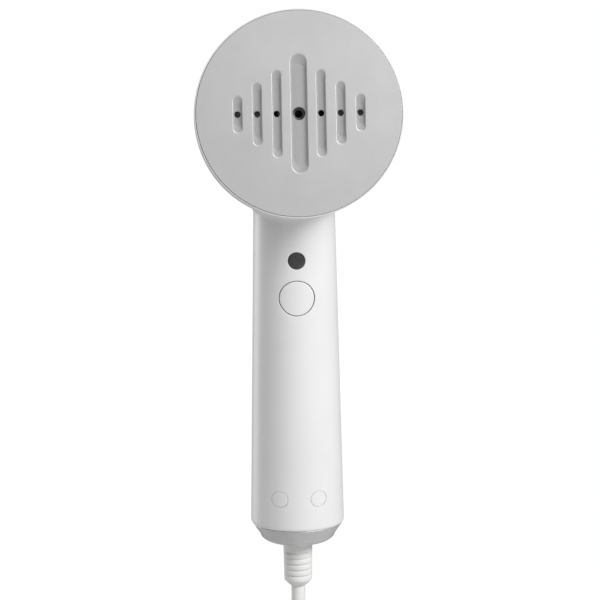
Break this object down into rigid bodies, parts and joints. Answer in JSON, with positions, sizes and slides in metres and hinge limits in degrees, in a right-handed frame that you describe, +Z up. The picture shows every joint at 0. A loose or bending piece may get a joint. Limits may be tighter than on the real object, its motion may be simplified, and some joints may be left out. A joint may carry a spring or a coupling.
{
  "type": "handheld steamer",
  "caption": "Handheld garment steamer: round grooved steam plate on a short head, leaning tapered handle, removable rear tank, corded.",
  "frame": {"origin": "middle of the grip, on the handle's axis, where a hand holds it", "axes": "+Z up, in the plane of the steam plate; -Y the way the steam leaves; +X to the right when facing +Y"},
  "size_m": [0.1022, 0.136, 0.4877],
  "materials": {
    "plate_metal": "fine blasted, satin",
    "white_shell": "satin moulded white",
    "silver_trim": "satin silver",
    "dark_lens": "smoked, polished",
    "tank_plastic": "smoky translucent",
    "white_rubber": "matt white",
    "steel": "plain",
    "cast_block": "as cast",
    "element_sheath": "heat darkened",
    "silicone": "soft translucent",
    "black_rubber": "matt",
    "black_plastic": "moulded",
    "natural_plastic": "moulded",
    "circuit_board": "solder mask",
    "copper_winding": "enamelled wire under tape",
    "led_resin": "clear resin",
    "wire_insulation": "matt",
    "blade_brass": "nickel plated"
  },
  "bodies": {
    "steamer_body": {"steam_plate": "plate_metal", "plate_seal": "silicone", "head_shell": "white_shell", "heat_shield": "steel", "shield_ring": "natural_plastic", "boiler_block": "cast_block", "heating_element": "element_sheath", "boiler_gasket": "silicone", "boiler_cover": "cast_block", "boiler_screws": "steel", "thermostat": "black_plastic", "thermal_fuse": "black_plastic", "pressure_hose": "silicone", "suction_hose": "silicone", "heater_leads": "wire_insulation", "tank_dock": "natural_plastic", "handle_front": "white_shell", "handle_rear": "white_shell", "indicator_lens": "dark_lens", "indicator_led": "led_resin", "button_spring": "steel", "switch_body": "black_plastic", "control_board": "circuit_board", "board_parts": "circuit_board", "pump_bracket": "steel", "pump_coil": "copper_winding", "pump_tube": "natural_plastic", "pump_spring": "steel", "pump_mounts": "black_rubber", "shell_screws": "steel", "screw_plugs": "white_shell", "end_cap": "silver_trim", "strain_relief": "white_rubber", "cord_clamp": "natural_plastic", "clamp_screws": "steel", "terminal_block": "natural_plastic", "mains_leads": "wire_insulation", "power_cord": "white_rubber", "cord_hank": "white_rubber", "cord_tail": "white_rubber", "hank_tie": "black_rubber", "plug_body": "white_rubber", "plug_blades": "blade_brass"},
    "steam_button": {"steam_button": "white_shell"},
    "switch_plunger": {"switch_plunger": "natural_plastic"},
    "pump_piston": {"pump_piston": "steel"},
    "water_tank": {"water_tank": "tank_plastic", "tank_front": "tank_plastic", "cap_pin": "steel", "tank_valve": "natural_plastic", "valve_spring": "steel", "tank_o_ring": "black_rubber"},
    "filler_cap": {"filler_cap": "white_shell", "cap_seal": "silicone"},
    "valve_poppet": {"valve_poppet": "natural_plastic"}
  },
  "joints": [
    {"name": "button_press", "type": "slide", "parent": "steamer_body", "child": "steam_button", "axis": [0, 0.9781, 0.2079], "range_m": [0, 0.0016], "stiffness_N_per_m": 600, "springref_m": -0.0015, "deforming": ["button_spring"]},
    {"name": "plunger_press", "type": "slide", "parent": "steamer_body", "child": "switch_plunger", "axis": [0, 0.9781, 0.2079], "range_m": [0, 0.0016]},
    {"name": "piston_stroke", "type": "slide", "parent": "steamer_body", "child": "pump_piston", "axis": [0, 0.2079, -0.9781], "range_m": [0, 0.003], "stiffness_N_per_m": 500, "springref_m": -0.002, "deforming": ["pump_spring"]},
    {"name": "tank_slide", "type": "slide", "parent": "steamer_body", "child": "water_tank", "axis": [0, 1, 0], "range_m": [0, 0.06]},
    {"name": "cap_hinge", "type": "hinge", "parent": "water_tank", "child": "filler_cap", "pos_m": [0, 0.0262, 0.1736], "axis": [1, 0, 0], "range_deg": [0, 110]},
    {"name": "valve_lift", "type": "slide", "parent": "water_tank", "child": "valve_poppet", "axis": [0, 1, 0], "range_m": [0, 0.002], "stiffness_N_per_m": 100, "springref_m": -0.002, "deforming": ["valve_spring"]}
  ],
  "couplings": [
    {"joint": "plunger_press", "follows": "button_press", "ratio": 1}
  ]
}
